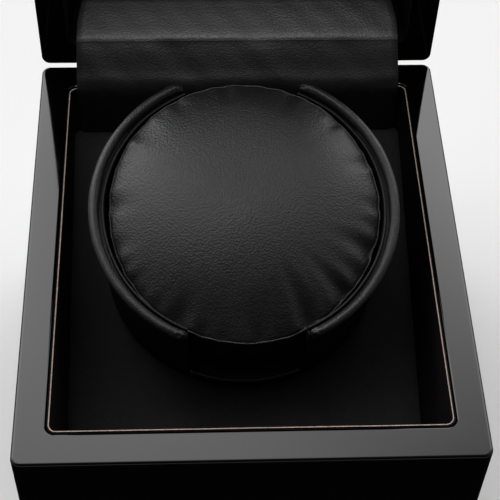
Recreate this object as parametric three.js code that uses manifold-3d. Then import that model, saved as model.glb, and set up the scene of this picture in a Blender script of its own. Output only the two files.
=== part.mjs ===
// Watch winder box: lacquered wooden case with a lid on two rear butt hinges, a sloping inner deck, and a padded
// cup that turns a round watch cushion. Millimetres, +X to the right, +Y to the rear, +Z up. The lid stands open.
import * as THREE from "three";
import { mergeVertices } from "three/addons/utils/BufferGeometryUtils.js";
import Module from "manifold-3d";

const wasm = await Module();
wasm.setup();

// ---- driving dimensions -------------------------------------------------------------------------------------
const CASE_W = 140, CASE_D = 162.4, CASE_H = 100, FOOT_H = 3, CORNER_R = 3;
const WALL_SIDE = 9.4, WALL_END = 10.2; // board plus lacquer, side walls and front/rear walls
const RIM = FOOT_H + CASE_H; // level of the base's rim
const LINER_T = 0.9, LINER_GAP = 0.3; // card liner boards inside the walls
const DECK_TILT = 15.43, DECK_DROP = 40.5, DECK_T = 3; // the deck slopes down to the front
const AXIS_Y = 19.1; // where the turntable axis meets the deck
const LID_H = 44, LID_DEPTH = 36, LID_GAP = 0.3;
const HINGE_BACK = 0.35, HINGE_UP = 0.15, HINGE_X = 38, LEAF_W = 24;
const CUP_R_LOW = 46.96, CUP_R_TOP = 47.4, CUP_R_IN = 45.7, CUP_TOP = 43.9, NOTCH_HALF = 24, NOTCH_FLOOR = 8.3;
const ROLL_R = 48.3, ROLL_T = 1.95, ROLL_N = 46.2; // padded roll on the cup's edge
const CUSHION_R = 43.3;
const MODULE = 0.8, GEAR_TEETH = 60, PINION_TEETH = 12, CENTRES = 28.9;

// ---- helpers --------------------------------------------------------------------------------------------------
const solid = (geometry) => {
  let g = geometry.index ? geometry.toNonIndexed() : geometry.clone();
  g.deleteAttribute("normal");
  g.deleteAttribute("uv");
  g = mergeVertices(g, 1e-3);
  const m = new wasm.Manifold(
    new wasm.Mesh({ numProp: 3, vertProperties: g.attributes.position.array, triVerts: new Uint32Array(g.index.array) }),
  );
  return m;
};
const geometryOf = (m) => {
  const mesh = m.getMesh(), n = mesh.numProp, v = new Float32Array(mesh.numVert * 3);
  for (let i = 0; i < mesh.numVert; i++) v.set(mesh.vertProperties.subarray(i * n, i * n + 3), i * 3);
  return new THREE.BufferGeometry().setAttribute("position", new THREE.BufferAttribute(v, 3)).setIndex(new THREE.BufferAttribute(new Uint32Array(mesh.triVerts), 1));
};
const box = (x0, x1, y0, y1, z0, z1) => solid(new THREE.BoxGeometry(x1 - x0, y1 - y0, z1 - z0).translate((x0 + x1) / 2, (y0 + y1) / 2, (z0 + z1) / 2));
// A prism of the outline [[a, b], ...] from c0 to c1: plane "xy" runs along z, "yz" along x, "xz" along y.
const prism = (outline, c0, c1, plane = "xy", holes = []) => {
  const shape = new THREE.Shape(outline.map(([a, b]) => new THREE.Vector2(a, b)));
  for (const h of holes) shape.holes.push(new THREE.Path(h.map(([a, b]) => new THREE.Vector2(a, b))));
  const g = new THREE.ExtrudeGeometry(shape, { depth: c1 - c0, bevelEnabled: false, steps: 1 }).translate(0, 0, c0);
  if (plane === "yz") g.applyMatrix4(new THREE.Matrix4().set(0, 0, 1, 0, 1, 0, 0, 0, 0, 1, 0, 0, 0, 0, 0, 1));
  if (plane === "xz") g.applyMatrix4(new THREE.Matrix4().set(1, 0, 0, 0, 0, 0, -1, 0, 0, 1, 0, 0, 0, 0, 0, 1)).translate(0, c0 + c1, 0);
  return solid(g);
};
const rounded = (hx, hy, r, n = 5) => {
  const p = [];
  for (const [cx, cy, a] of [[hx - r, hy - r, 0], [r - hx, hy - r, 90], [r - hx, r - hy, 180], [hx - r, r - hy, 270]])
    for (let i = 0; i <= n; i++) {
      const t = ((a + (90 * i) / n) * Math.PI) / 180;
      p.push([cx + r * Math.cos(t), cy + r * Math.sin(t)]);
    }
  return p;
};
const circle = (cx, cy, r, n = 24) => Array.from({ length: n }, (_, i) => [cx + r * Math.cos((2 * Math.PI * i) / n), cy + r * Math.sin((2 * Math.PI * i) / n)]);
// A rounded block whose top and bottom outer edges are eased by e.
const eased = (hx, hy, r, z0, z1, e) => {
  const shape = new THREE.Shape(rounded(hx - e, hy - e, r - e).map(([a, b]) => new THREE.Vector2(a, b)));
  return solid(new THREE.ExtrudeGeometry(shape, { depth: z1 - z0 - 2 * e, bevelEnabled: true, bevelThickness: e, bevelSize: e, bevelSegments: 3, steps: 1 }).translate(0, 0, z0 + e));
};
// A body of revolution about z: profile [[r, z], ...].
const lathe = (profile, n = 48) => {
  const m = solid(new THREE.LatheGeometry(profile.map(([r, z]) => new THREE.Vector2(r, z)), n).rotateX(Math.PI / 2));
  return m.volume() < 0 ? solid(new THREE.LatheGeometry([...profile].reverse().map(([r, z]) => new THREE.Vector2(r, z)), n).rotateX(Math.PI / 2)) : m;
};
// The closed profile [[r, z], ...] swept about z from angle a0 to a1 (degrees), with flat ends.
const arc = (profile, a0, a1, n) => {
  const k = profile.length, pos = [], idx = [];
  const area = profile.reduce((s, [r, z], i) => s + r * profile[(i + 1) % k][1] - profile[(i + 1) % k][0] * z, 0);
  const p = area < 0 ? [...profile].reverse() : profile;
  for (let j = 0; j <= n; j++) {
    const t = ((a0 + ((a1 - a0) * j) / n) * Math.PI) / 180;
    for (const [r, z] of p) pos.push(r * Math.cos(t), r * Math.sin(t), z);
  }
  for (let j = 0; j < n; j++)
    for (let i = 0; i < k; i++) {
      const a = j * k + i, b = j * k + ((i + 1) % k), c = a + k, d = b + k;
      idx.push(a, b, d, a, d, c);
    }
  for (const [a, b, c] of THREE.ShapeUtils.triangulateShape(p.map(([r, z]) => new THREE.Vector2(r, z)), [])) {
    idx.push(c, b, a, n * k + a, n * k + b, n * k + c);
  }
  const make = (order) => {
    const g = new THREE.BufferGeometry().setAttribute("position", new THREE.BufferAttribute(new Float32Array(pos), 3));
    g.setIndex(order);
    return solid(g);
  };
  const m = make(idx);
  if (m.volume() > 0) return m;
  const back = [];
  for (let i = 0; i < idx.length; i += 3) back.push(idx[i], idx[i + 2], idx[i + 1]);
  return make(back);
};
const ringProfile = (cr, cz, r, n) => circle(cr, cz, r, n);
// An involute spur gear between z0 and z1.
const gear = (teeth, z0, z1, bore, phase = 0) => {
  const rp = (MODULE * teeth) / 2, rb = rp * Math.cos((20 * Math.PI) / 180), ra = rp + 0.7 * MODULE, rf = rp - 1.15 * MODULE;
  const inv = (a) => Math.tan(a) - a, half = (Math.PI / 2 / teeth) * 0.86 + inv((20 * Math.PI) / 180);
  const at = (r) => half - inv(Math.acos(Math.min(1, rb / r)));
  const flank = [rf, Math.max(rb, rf + 0.05), (Math.max(rb, rf) + rp) / 2, rp, (rp + ra) / 2, ra];
  const out = [];
  for (let i = 0; i < teeth; i++) {
    const c = phase + (2 * Math.PI * i) / teeth;
    for (const r of flank) out.push([r * Math.cos(c - at(Math.max(r, rb))), r * Math.sin(c - at(Math.max(r, rb)))]);
    for (const r of [...flank].reverse()) out.push([r * Math.cos(c + at(Math.max(r, rb))), r * Math.sin(c + at(Math.max(r, rb)))]);
  }
  return prism(out, z0, z1, "xy", [circle(0, 0, bore, 20).reverse()]);
};

const root = new THREE.Group();
root.name = "watch_winder";
// the frame's origin is the middle of the whole object's box, lid open, on the plane under the feet
root.position.set(0, -(HINGE_BACK + LID_GAP - HINGE_UP + LID_H) / 2, 0);
const place = (name, m, colour, matrix) => {
  const g = geometryOf(m);
  if (matrix) g.applyMatrix4(matrix);
  const mesh = new THREE.Mesh(g, new THREE.MeshStandardMaterial({ color: colour }));
  mesh.name = name;
  root.add(mesh);
};

// ---- frames ---------------------------------------------------------------------------------------------------
const tilt = (DECK_TILT * Math.PI) / 180;
const deckZ = (y) => RIM - DECK_DROP + y * Math.tan(tilt); // height of the deck's top face
const onDeck = new THREE.Matrix4()
  .makeBasis(new THREE.Vector3(1, 0, 0), new THREE.Vector3(0, Math.cos(tilt), Math.sin(tilt)), new THREE.Vector3(0, -Math.sin(tilt), Math.cos(tilt)))
  .setPosition(0, AXIS_Y, deckZ(AXIS_Y));
const hingeY = CASE_D / 2 + HINGE_BACK, hingeZ = RIM + HINGE_UP;
// Lid pieces are drawn shut, then swung back a quarter turn about the hinge pins.
const opened = new THREE.Matrix4()
  .makeTranslation(0, hingeY, hingeZ)
  .multiply(new THREE.Matrix4().makeRotationX(-Math.PI / 2))
  .multiply(new THREE.Matrix4().makeTranslation(0, -hingeY, -hingeZ));

const inX = CASE_W / 2 - WALL_SIDE, inY = CASE_D / 2 - WALL_END;
const LACQUER = 0x0b0b0d, LEATHER = 0x17171a, CARD = 0x2a2320, WOOD = 0xb08a5c, PLASTIC = 0x1c1c1e, STEEL = 0xb9bcc0, BRASS = 0xc2a15a, RUBBER = 0x151515;

// ---- base case -------------------------------------------------------------------------------------------------
let baseCase = eased(CASE_W / 2, CASE_D / 2, CORNER_R, FOOT_H, RIM, 0.9);
baseCase = baseCase.subtract(prism(rounded(inX, inY, 3), FOOT_H - 1, RIM + 1));
// glued corner blocks that take the bottom panel's screws
for (const sx of [-1, 1]) for (const sy of [-1, 1]) {
  const block = prism([[sx * (inX + 1), sy * (inY + 1)], [sx * (inX + 1), sy * (inY - 17)], [sx * (inX - 17), sy * (inY + 1)]].sort(() => 0), 9.4, 30);
  baseCase = baseCase.add(block);
}
const SCREW_X = 55, SCREW_Y = 65.5;
for (const sx of [-1, 1]) for (const sy of [-1, 1])
  baseCase = baseCase.subtract(lathe([[0, 8], [1.9, 8], [1.9, 22], [0, 22]], 16).translate([sx * SCREW_X, sy * SCREW_Y, 0]));
// window for the control plate in the rear wall, stepped on the outside
baseCase = baseCase.subtract(box(-34, 34, inY - 2, CASE_D / 2 + 2, 15, 40));
baseCase = baseCase.subtract(box(-38, 38, CASE_D / 2 - 2.2, CASE_D / 2 + 2, 12, 43));
for (const sx of [-1, 1]) baseCase = baseCase.subtract(prism(circle(sx * 36, 27.5, 1.2, 12), CASE_D / 2 - 9, CASE_D / 2, "xz"));
// mortises for the hinges
const leafCut = (sx, z0, z1) => box(sx * HINGE_X - LEAF_W / 2 - 0.3, sx * HINGE_X + LEAF_W / 2 + 0.3, 73, CASE_D / 2 + 2, z0, z1);
for (const sx of [-1, 1]) baseCase = baseCase.subtract(leafCut(sx, RIM - 1.3, RIM + 2));
place("base_case", baseCase, LACQUER);

// bottom panel, its screws and the feet
let bottom = prism(rounded(inX - 0.3, inY - 0.3, 2.7), FOOT_H, 9);
const FOOT_X = 44, FOOT_Y = 54;
for (const sx of [-1, 1]) for (const sy of [-1, 1]) {
  bottom = bottom.subtract(lathe([[0, 2], [3.6, 2], [3.6, 5.6], [1.9, 5.6], [1.9, 10], [0, 10]], 20).translate([sx * SCREW_X, sy * SCREW_Y, 0]));
  const side = (sx < 0 ? "left" : "right"), end = (sy < 0 ? "front" : "rear");
  const screw = lathe([[0, 3.4], [2.9, 3.4], [2.9, 4.4], [1.5, 5.3], [1.5, 18.5], [0, 20]], 16);
  place("bottom_screw_" + end + "_" + side, screw.translate([sx * SCREW_X, sy * SCREW_Y, 0]), STEEL);
  place("foot_" + end + "_" + side, lathe([[0, 0], [6.6, 0], [7, 0.6], [7.5, 2.7], [0, 2.7]], 24).translate([sx * FOOT_X, sy * FOOT_Y, 0]), RUBBER);
}
place("bottom_panel", bottom, LACQUER);

// ---- liners, deck and its rails ----------------------------------------------------------------------------------
const lx = inX - LINER_GAP, ly = inY - LINER_GAP;
const sideOutline = [[-(inY - 3.2), deckZ(-(inY - 3.2)) + 0.3], [inY - 3.2, deckZ(inY - 3.2) + 0.3], [inY - 3.2, RIM - 0.2], [-(inY - 3.2), RIM - 0.2]];
place("liner_left", prism(sideOutline, -lx, -lx + LINER_T, "yz"), CARD);
place("liner_right", prism(sideOutline, lx - LINER_T, lx, "yz"), CARD);
place("liner_front", box(-(inX - 3.2), inX - 3.2, -ly, -ly + LINER_T, deckZ(-ly + LINER_T) + 0.3, RIM - 0.2), CARD);
place("liner_rear", box(-(inX - 3.2), inX - 3.2, ly - LINER_T, ly, deckZ(ly) + 0.3, RIM - 1), CARD);
const dv = DECK_T / Math.cos(tilt);
let deck = prism([[-ly, deckZ(-ly) - dv], [ly, deckZ(ly) - dv], [ly, deckZ(ly)], [-ly, deckZ(-ly)]], -inX, inX, "yz");
const deckHole = lathe([[0, -8], [12, -8], [12, 8], [0, 8]], 40);
const asSolid = (m, matrix) => solid(geometryOf(m).applyMatrix4(matrix));
deck = deck.intersect(prism(rounded(inX - 0.4, inY - 0.3, 2.7), 0, 200)).subtract(asSolid(deckHole, onDeck));
place("deck_panel", deck, LEATHER);
const railOutline = [[-66, deckZ(-66) - dv - 0.3], [-66, deckZ(-66) - dv - 9], [66, deckZ(66) - dv - 9], [66, deckZ(66) - dv - 0.3]];
place("deck_rail_left", prism(railOutline, -inX + 0.3, -inX + 6.3, "yz"), WOOD);
place("deck_rail_right", prism(railOutline, inX - 6.3, inX - 0.3, "yz"), WOOD);

// ---- drive under the deck (drawn on the deck's own axes, n = up along the turntable axis) --------------------------
let bearingPlate = prism(rounded(35, 32, 3, 3), -5.9, -3.3).translate([11, 0, 0]);
bearingPlate = bearingPlate.subtract(lathe([[0, -7], [6.3, -7], [6.3, -2], [0, -2]], 24));
place("bearing_plate", bearingPlate, STEEL, onDeck);
place("bearing_bush", lathe([[3.06, -12], [5.7, -12], [6, -11.6], [6, -3], [8, -3], [8, -2.4], [3.06, -2.4], [3.06, -12]], 32), BRASS, onDeck);
let spindle = lathe([[0, -22], [2.6, -22], [3, -21.6], [3, -2.1], [9, -2.1], [9, 0.5], [3, 0.5], [3, 3.5], [1.8, 3.5], [1.8, -4.6], [0, -5.2]], 32);
place("spindle", spindle, STEEL, onDeck);
place("hub_screw", lathe([[0, 5.7], [4.2, 5.5], [5, 4.9], [5, 4.1], [1.5, 4.1], [1.5, -3.6], [0, -4.2]], 24), STEEL, onDeck);
place("drive_gear", gear(GEAR_TEETH, -19, -14, 3.3), PLASTIC, onDeck);
let bracket = prism([[10, -31], [20, -31], [44, -28], [44, 28], [20, 31], [10, 31]], -26, -24);
for (const [u, v] of [[40, -24], [40, 24], [16, -27], [16, 27]]) bracket = bracket.add(lathe([[0, -24.5], [3, -24.5], [3, -6.2], [0, -6.2]], 16).translate([u, v, 0]));
bracket = bracket.subtract(lathe([[0, -27], [5, -27], [5, -23], [0, -23]], 24).translate([CENTRES, 0, 0]));
place("motor_bracket", bracket, STEEL, onDeck);
const motorAt = (m) => m.translate([CENTRES, 0, 0]);
place("gearmotor_gearbox", motorAt(lathe([[0, -34.3], [11.6, -34.3], [12, -33.9], [12, -26.6], [11.7, -26.3], [4.6, -26.3], [4.6, -22.6], [1.56, -22.6], [1.56, -32.5], [0, -32.5]], 32)), STEEL, onDeck);
place("gearmotor_can", motorAt(lathe([[0, -51.4], [3, -51.4], [3, -50.4], [9.4, -50.4], [10.4, -49.4], [10.4, -34.6], [0, -34.6]], 32)), STEEL, onDeck);
place("motor_shaft", motorAt(lathe([[0, -32.2], [1.5, -32.2], [1.5, -12.9], [1.2, -12.6], [0, -12.6]], 24)), STEEL, onDeck);
place("motor_pinion", motorAt(gear(PINION_TEETH, -19.6, -13.4, 1.8, Math.PI / PINION_TEETH)), BRASS, onDeck);

// ---- cup ------------------------------------------------------------------------------------------------------------
let cup = lathe([[3.3, 0.8], [46.3, 0.8], [CUP_R_LOW, 1.6], [CUP_R_TOP, CUP_TOP], [CUP_R_IN, CUP_TOP], [CUP_R_IN, 3.8], [3.3, 3.8], [3.3, 0.8]], 72);
const sector = (mid) => arc([[40, NOTCH_FLOOR], [60, NOTCH_FLOOR], [60, 60], [40, 60]], mid - NOTCH_HALF, mid + NOTCH_HALF, 12);
cup = cup.subtract(sector(-90)).subtract(sector(90));
place("cup_shell", cup, LEATHER, onDeck);
const ARC0 = -90 + NOTCH_HALF, ARC1 = 90 - NOTCH_HALF;
const roll = (m0, m1) => arc(ringProfile(ROLL_R, ROLL_N, ROLL_T, 12), m0, m1, 30);
place("rim_roll_right", roll(ARC0, ARC1), LEATHER, onDeck);
place("rim_roll_left", roll(ARC0 + 180, ARC1 + 180), LEATHER, onDeck);
const lining = [[44.75, 4.3], [45.4, 4.3], [45.4, 44.4], [45.85, 44.8], [46.0, 45.4], [45.8, 45.95], [45.3, 46.15], [44.85, 45.9], [44.65, 45.4], [44.75, 44.8]];
place("cup_lining_right", arc(lining, ARC0 + 0.4, ARC1 - 0.4, 26), LEATHER, onDeck);
place("cup_lining_left", arc(lining, ARC0 + 180.4, ARC1 + 179.6, 26), LEATHER, onDeck);
const trim = (mid) => arc(ringProfile(46.55, NOTCH_FLOOR + 0.95, 0.65, 8), mid - NOTCH_HALF + 0.9, mid + NOTCH_HALF - 0.9, 12);
place("notch_trim_front", trim(-90), LEATHER, onDeck);
place("notch_trim_rear", trim(90), LEATHER, onDeck);
// round watch cushion, lifted out along the cup's axis
place("cushion", lathe([[0, 6.2], [37.6, 6.2], [39.8, 7], [41, 9], [42, 24], [42.6, 38], [CUSHION_R, 42.4], [CUSHION_R, 43.4], [42.4, 45.2], [39.6, 47], [34, 49], [25, 50.7], [12, 51.8], [0, 52.1]], 64), LEATHER, onDeck);

// ---- electrics ---------------------------------------------------------------------------------------------------------
const rear = CASE_D / 2;
let plate = prism([[-37.7, 12.3], [37.7, 12.3], [37.7, 42.7], [-37.7, 42.7]], rear - 1.9, rear, "xz");
const JACK_X = -21, KNOB_X = 0, ROCKER_X = 21, CTRL_Z = 27.5;
plate = plate.subtract(prism(circle(JACK_X, CTRL_Z, 4.3), rear - 4, rear + 2, "xz"));
plate = plate.subtract(prism(circle(KNOB_X, CTRL_Z, 3.7), rear - 4, rear + 2, "xz"));
plate = plate.subtract(box(ROCKER_X - 6.8, ROCKER_X + 6.8, rear - 4, rear + 2, CTRL_Z - 9.8, CTRL_Z + 9.8));
for (const sx of [-1, 1]) plate = plate.subtract(prism(circle(sx * 36, CTRL_Z, 1.2, 12), rear - 4, rear + 2, "xz"));
place("control_plate", plate, PLASTIC);
// profiles below are [radius, distance out of the rear face], turned about an axis along +Y
const turned = (profile, x, n) => {
  const g = geometryOf(lathe(profile, n)).applyMatrix4(new THREE.Matrix4().set(1, 0, 0, x, 0, 0, 1, rear, 0, -1, 0, CTRL_Z, 0, 0, 0, 1));
  return solid(g);
};
for (const sx of [-1, 1]) place("plate_screw_" + (sx < 0 ? "left" : "right"), turned([[0, -7.5], [0.9, -7], [0.9, 0.3], [1.7, 0.3], [1.6, 0.9], [0, 1.2]], sx * 36, 16), STEEL);
place("dc_jack", turned([[0, -12], [5.4, -12], [5.4, -2.4], [3.9, -2.2], [3.9, 0.6], [2.8, 0.6], [2.8, -9], [0.95, -9], [0.95, -1.2], [0, -0.7]], JACK_X, 24), PLASTIC);
place("mode_switch", turned([[0, -13], [8, -13], [8, -2.4], [3.4, -2.2], [3.4, 3], [2.06, 3], [2.06, -8], [0, -8]], KNOB_X, 24), PLASTIC);
let knob = lathe([[0, -7.6], [2, -7.6], [2, 3.4], [7, 3.4], [7, 4], [6.4, 10.6], [5.8, 11.2], [0, 11.2]], 30);
knob = knob.add(box(-0.7, 0.7, -6.4, -1, 10.5, 11.8));
place("mode_knob", solid(geometryOf(knob).applyMatrix4(new THREE.Matrix4().set(1, 0, 0, KNOB_X, 0, 0, 1, rear, 0, -1, 0, CTRL_Z, 0, 0, 0, 1))), PLASTIC);
let housing = box(ROCKER_X - 6.5, ROCKER_X + 6.5, rear - 15, rear + 1, CTRL_Z - 9.5, CTRL_Z + 9.5).add(box(ROCKER_X - 7.5, ROCKER_X + 7.5, rear + 0.3, rear + 1.8, CTRL_Z - 10.5, CTRL_Z + 10.5));
housing = housing.subtract(box(ROCKER_X - 5, ROCKER_X + 5, rear - 5.4, rear + 4, CTRL_Z - 8, CTRL_Z + 8));
place("switch_housing", housing, PLASTIC);
// rocker in the off position: lower end out; it turns about its own pivot below the frame
const ROCK = 7, pivotY = rear - 1.2;
let rocker = prism([[-7.2, 1.2], [0, 2.6], [7.2, 1.2], [7, -0.8], [2.4, -2.6], [-2.4, -2.6], [-7, -0.8]].map(([z, y]) => [y, z]), -4.7, 4.7, "yz");
rocker = solid(geometryOf(rocker).applyMatrix4(new THREE.Matrix4().makeTranslation(ROCKER_X, pivotY, CTRL_Z).multiply(new THREE.Matrix4().makeRotationX((ROCK * Math.PI) / 180))));
place("power_rocker", rocker, PLASTIC);
// control board in a tray on the bottom panel
let tray = box(-30, 30, 28, 66, 9.3, 11.3);
for (const sx of [-1, 1]) tray = tray.add(box(sx * 29 - 1, sx * 29 + 1, 28, 66, 11, 15));
place("board_tray", tray, PLASTIC);
let board = box(-27.5, 27.5, 30, 60, 11.7, 13.3);
board = board.add(box(-20, -8, 36, 48, 13, 15)).add(box(6, 20, 34, 44, 13, 17)).add(lathe([[0, 13], [3, 13], [3, 20], [0, 20]], 16).translate([20, 52, 0]));
place("control_board", board, 0x1d5a32);

// ---- hinges --------------------------------------------------------------------------------------------------------------
const leafEnd = hingeY - 1.65;
const barrel = (x0, x1, holed = true) => {
  const g = prism(circle(0, 0, 1.3, 20), x0, x1, "yz", holed ? [circle(0, 0, 0.68, 16).reverse()] : []);
  return g.translate([0, hingeY, hingeZ]);
};
for (const sx of [-1, 1]) {
  const c = sx * HINGE_X, h = LEAF_W / 2, k = LEAF_W / 6, side = sx < 0 ? "left" : "right";
  const pinHole = prism(circle(0, 0, 0.68, 16), c - h - 1, c + h + 1, "yz").translate([0, hingeY, hingeZ]);
  // lower leaf carries the middle knuckle, upper leaf the two outer ones
  let lower = box(c - h, c + h, 73.3, leafEnd, RIM - 1, RIM).add(box(c - k + 0.15, c + k - 0.15, leafEnd - 0.2, hingeY, RIM - 0.72, RIM));
  lower = lower.add(barrel(c - k + 0.15, c + k - 0.15, false)).subtract(pinHole);
  place("hinge_leaf_base_" + side, lower, BRASS);
  let upper = box(c - h, c + h, 73.3, leafEnd, RIM + 1.1, RIM + 2.1);
  for (const [a, b] of [[c - h, c - k - 0.15], [c + k + 0.15, c + h]]) upper = upper.add(box(a, b, leafEnd - 0.2, hingeY, RIM + 1.1, RIM + 1.82)).add(barrel(a, b, false));
  upper = upper.subtract(pinHole);
  place("hinge_leaf_lid_" + side, upper, BRASS, opened);
  place("hinge_pin_" + side, prism(circle(0, 0, 0.6, 16), c - h - 0.2, c + h + 0.2, "yz").translate([0, hingeY, hingeZ]), BRASS);
}

// ---- lid (drawn shut) -------------------------------------------------------------------------------------------------------
const l0 = RIM + LID_GAP;
let lid = eased(CASE_W / 2, CASE_D / 2, CORNER_R, l0, l0 + LID_H, 0.9);
lid = lid.subtract(prism(rounded(inX, inY, 3), l0 - 1, l0 + LID_DEPTH));
for (const sx of [-1, 1]) lid = lid.subtract(leafCut(sx, l0 - 2, l0 + 2.2));
place("lid_case", lid, LACQUER, opened);
const lt = l0 + 29.7, lb = l0 + 0.2;
place("lid_liner_left", box(-lx, -lx + LINER_T, -(inY - 3.2), inY - 3.2, lb, lt), CARD, opened);
place("lid_liner_right", box(lx - LINER_T, lx, -(inY - 3.2), inY - 3.2, lb, lt), CARD, opened);
place("lid_liner_front", box(-(inX - 3.2), inX - 3.2, -ly, -ly + LINER_T, lb, lt), CARD, opened);
place("lid_liner_rear", box(-(inX - 3.2), inX - 3.2, ly - LINER_T, ly, lb, lt), CARD, opened);
place("lid_pad", eased(inX - 0.6, inY - 0.6, 3, l0 + 30, l0 + LID_DEPTH - 0.3, 1.4), LEATHER, opened);

// leatherette flap over the hinges: up the rear liner, back over the gap and onto the lid's rear wall (lid open)
const FLAP_HALF = 57, FLAP_T = 0.8, fy = ly - LINER_T - 0.3;
const zf = hingeZ + (hingeY - fy) ; // level of the lid's rear lining face with the lid open
const yLid = hingeY + (l0 - hingeZ);
const centre = [[fy - FLAP_T / 2, deckZ(fy) + 0.5], [fy - FLAP_T / 2, RIM - 9], [fy - FLAP_T / 2, RIM - 3], [fy - FLAP_T / 2 + 0.1, RIM - 0.6], [fy + 1.0, RIM + 1.9], [fy + 4.0, RIM + 5.2], [yLid - 3.2, zf - 1.6], [yLid - 0.6, zf - 0.05], [yLid + 2.4, zf + 0.4], [yLid + 19.3, zf + 0.4]];
const curve = [];
const spline = new THREE.CatmullRomCurve3(centre.map(([y, z]) => new THREE.Vector3(0, y, z)), false, "centripetal");
for (let i = 0; i <= 28; i++) curve.push(spline.getPoint(i / 28));
const sideA = [], sideB = [];
curve.forEach((p, i) => {
  const t = (curve[i + 1] || p).clone().sub(curve[i - 1] || p).normalize();
  sideA.push([p.y - (t.z * FLAP_T) / 2, p.z + (t.y * FLAP_T) / 2]);
  sideB.push([p.y + (t.z * FLAP_T) / 2, p.z - (t.y * FLAP_T) / 2]);
});
place("hinge_flap", prism([...sideA, ...sideB.reverse()], -FLAP_HALF, FLAP_HALF, "yz"), LEATHER);

export default root;
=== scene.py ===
import math

import bmesh
import bpy
import numpy as np
from mathutils import Matrix, Vector


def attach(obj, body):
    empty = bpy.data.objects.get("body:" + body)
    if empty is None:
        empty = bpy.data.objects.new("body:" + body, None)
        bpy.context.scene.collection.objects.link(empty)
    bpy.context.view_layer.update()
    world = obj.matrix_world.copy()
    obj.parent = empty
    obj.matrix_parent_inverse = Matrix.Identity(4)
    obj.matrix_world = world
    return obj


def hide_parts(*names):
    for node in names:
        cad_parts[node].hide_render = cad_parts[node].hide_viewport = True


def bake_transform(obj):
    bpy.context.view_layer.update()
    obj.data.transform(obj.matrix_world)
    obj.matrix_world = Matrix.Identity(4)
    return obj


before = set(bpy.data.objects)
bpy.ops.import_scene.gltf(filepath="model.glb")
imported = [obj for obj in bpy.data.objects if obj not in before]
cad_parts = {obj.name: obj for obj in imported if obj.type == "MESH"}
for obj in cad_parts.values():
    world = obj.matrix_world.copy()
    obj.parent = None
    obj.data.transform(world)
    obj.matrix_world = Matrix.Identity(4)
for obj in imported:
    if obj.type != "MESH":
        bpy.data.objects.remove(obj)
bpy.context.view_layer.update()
bpy.context.scene.view_settings.view_transform = "Standard"

# ---- the object's dimensions in millimetres, as in the part ---------------------------------------------------
CASE_W, CASE_D, CASE_H, FOOT_H = 140.0, 162.4, 100.0, 3.0
RIM = FOOT_H + CASE_H
IN_X, IN_Y = 60.6, 71.0
LINER_T, LINER_GAP = 0.9, 0.3
TILT = math.radians(15.43)
DECK_DROP, AXIS_Y = 40.5, 19.1
LID_H, LID_DEPTH, LID_GAP = 44.0, 36.0, 0.3
HINGE_Y, HINGE_Z = CASE_D / 2 + 0.35, RIM + 0.15
ORIGIN_Y = -22.25
L0 = RIM + LID_GAP


def deck_z(y):
    return RIM - DECK_DROP + y * math.tan(TILT)


def P(p):
    """Case coordinates in mm to the row frame in metres."""
    p = np.asarray(p, float)
    return (p + np.array([0, ORIGIN_Y, 0])) / 1000.0


def D(p):
    """Deck coordinates (u, v, n) in mm to case coordinates."""
    p = np.atleast_2d(np.asarray(p, float))
    c, s = math.cos(TILT), math.sin(TILT)
    return np.stack([p[:, 0], AXIS_Y + p[:, 1] * c - p[:, 2] * s, deck_z(AXIS_Y) + p[:, 1] * s + p[:, 2] * c], 1)


def L(p):
    """Coordinates of the shut lid in mm to case coordinates with the lid open."""
    p = np.atleast_2d(np.asarray(p, float))
    return np.stack([p[:, 0], HINGE_Y + (p[:, 2] - HINGE_Z), HINGE_Z - (p[:, 1] - HINGE_Y)], 1)


def smooth(a, b, x):
    t = np.clip((np.asarray(x, float) - a) / (b - a), 0, 1)
    return t * t * (3 - 2 * t)


# ---- mesh helpers ---------------------------------------------------------------------------------------------
def link(name, verts, faces, mats, face_mats=None, angle=38.0, flat=False):
    me = bpy.data.meshes.new(name)
    me.from_pydata([tuple(map(float, v)) for v in verts], [], [tuple(map(int, f)) for f in faces])
    me.validate()
    ob = bpy.data.objects.new(name, me)
    bpy.context.scene.collection.objects.link(ob)
    for m in mats:
        me.materials.append(m)
    if face_mats is not None:
        for p, m in zip(me.polygons, face_mats):
            p.material_index = int(m)
    bm = bmesh.new()
    bm.from_mesh(me)
    bmesh.ops.recalc_face_normals(bm, faces=bm.faces)
    bm.to_mesh(me)
    bm.free()
    if not flat:
        me.shade_smooth()
        me.set_sharp_from_angle(angle=math.radians(angle))
    return ob


def bake(ob):
    """Applies the object's modifiers."""
    dg = bpy.context.evaluated_depsgraph_get()
    dg.update()
    me = bpy.data.meshes.new_from_object(ob.evaluated_get(dg), preserve_all_data_layers=True, depsgraph=dg)
    old = ob.data
    ob.modifiers.clear()
    ob.data = me
    me.name = old.name
    bpy.data.meshes.remove(old)
    return ob


def cut(ob, cutters, angle=38.0):
    for c in cutters:
        m = ob.modifiers.new("cut", "BOOLEAN")
        m.operation, m.solver, m.object = "DIFFERENCE", "EXACT", c
    bake(ob)
    for c in cutters:
        me = c.data
        bpy.data.objects.remove(c)
        bpy.data.meshes.remove(me)
    ob.data.shade_smooth()
    ob.data.set_sharp_from_angle(angle=math.radians(angle))
    return ob


def weighted(ob):
    m = ob.modifiers.new("normals", "WEIGHTED_NORMAL")
    m.mode, m.weight, m.keep_sharp = "FACE_AREA", 80, True
    return ob


def bevel(ob, width_mm, segments=3, angle=32.0):
    m = ob.modifiers.new("bevel", "BEVEL")
    m.width, m.segments, m.limit_method, m.angle_limit = width_mm / 1000.0, segments, "ANGLE", math.radians(angle)
    m.harden_normals = False
    weighted(ob)
    return ob


def rrect(hx, hy, r, n=8):
    out = []
    r = max(r, 0.02)
    for cx, cy, a in ((hx - r, hy - r, 0), (r - hx, hy - r, 90), (r - hx, r - hy, 180), (hx - r, r - hy, 270)):
        for i in range(n + 1):
            t = math.radians(a + 90.0 * i / n)
            out.append((cx + r * math.cos(t), cy + r * math.sin(t)))
    return out


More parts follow.
